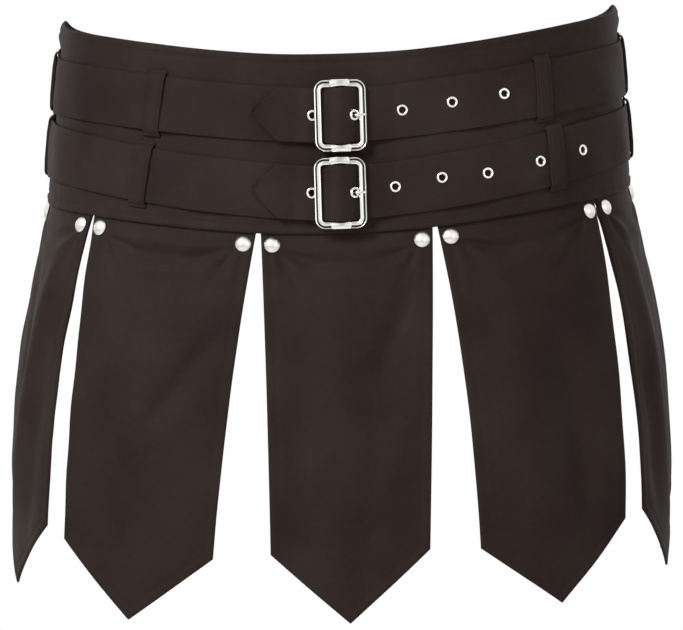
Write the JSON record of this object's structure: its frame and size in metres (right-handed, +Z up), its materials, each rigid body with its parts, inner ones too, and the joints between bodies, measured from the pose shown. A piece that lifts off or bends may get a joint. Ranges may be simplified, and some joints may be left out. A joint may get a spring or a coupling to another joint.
{
  "type": "panelled kilt with a hip yoke and two buckled belts",
  "caption": "Hollow kilt: hip yoke, two buckled belts in loops, and pointed hanging panels with studs at their top corners.",
  "frame": {"origin": "middle of the yoke, where the wearer's hips hold the kilt", "axes": "+Z up, front faces -Y, +X to the right seen from the front"},
  "size_m": [0.3916, 0.3022, 0.3592],
  "materials": {
    "yoke_cloth": "dark brown twill, soft sheen",
    "belt_cloth": "dark brown twill, topstitched",
    "panel_cloth": "dark brown twill, soft sheen",
    "nickel": "bright nickel plate"
  },
  "bodies": {
    "root": {"belt_lower": "belt_cloth", "belt_upper": "belt_cloth", "buckle_lower": "nickel", "buckle_upper": "nickel", "eyelet_lower_1": "nickel", "eyelet_lower_2": "nickel", "eyelet_lower_3": "nickel", "eyelet_lower_4": "nickel", "eyelet_lower_5": "nickel", "eyelet_lower_6": "nickel", "eyelet_lower_7": "nickel", "eyelet_upper_1": "nickel", "eyelet_upper_2": "nickel", "eyelet_upper_3": "nickel", "eyelet_upper_4": "nickel", "eyelet_upper_5": "nickel", "loop_lower_back": "belt_cloth", "loop_lower_hip_left": "belt_cloth", "loop_lower_hip_right": "belt_cloth", "loop_lower_left": "belt_cloth", "loop_lower_right": "belt_cloth", "loop_upper_back": "belt_cloth", "loop_upper_hip_left": "belt_cloth", "loop_upper_hip_right": "belt_cloth", "loop_upper_left": "belt_cloth", "loop_upper_right": "belt_cloth", "panel_back": "panel_cloth", "panel_back_left": "panel_cloth", "panel_back_right": "panel_cloth", "panel_front": "panel_cloth", "panel_front_left": "panel_cloth", "panel_front_right": "panel_cloth", "panel_hip_left": "panel_cloth", "panel_hip_right": "panel_cloth", "panel_side_left": "panel_cloth", "panel_side_right": "panel_cloth", "prong_lower": "nickel", "prong_upper": "nickel", "stud_back_a": "nickel", "stud_back_b": "nickel", "stud_back_left_a": "nickel", "stud_back_left_b": "nickel", "stud_back_right_a": "nickel", "stud_back_right_b": "nickel", "stud_front_a": "nickel", "stud_front_b": "nickel", "stud_front_left_a": "nickel", "stud_front_left_b": "nickel", "stud_front_right_a": "nickel", "stud_front_right_b": "nickel", "stud_hip_left_a": "nickel", "stud_hip_left_b": "nickel", "stud_hip_right_a": "nickel", "stud_hip_right_b": "nickel", "stud_side_left_a": "nickel", "stud_side_left_b": "nickel", "stud_side_right_a": "nickel", "stud_side_right_b": "nickel", "yoke_back": "yoke_cloth", "yoke_front": "yoke_cloth"}
  },
  "joints": []
}
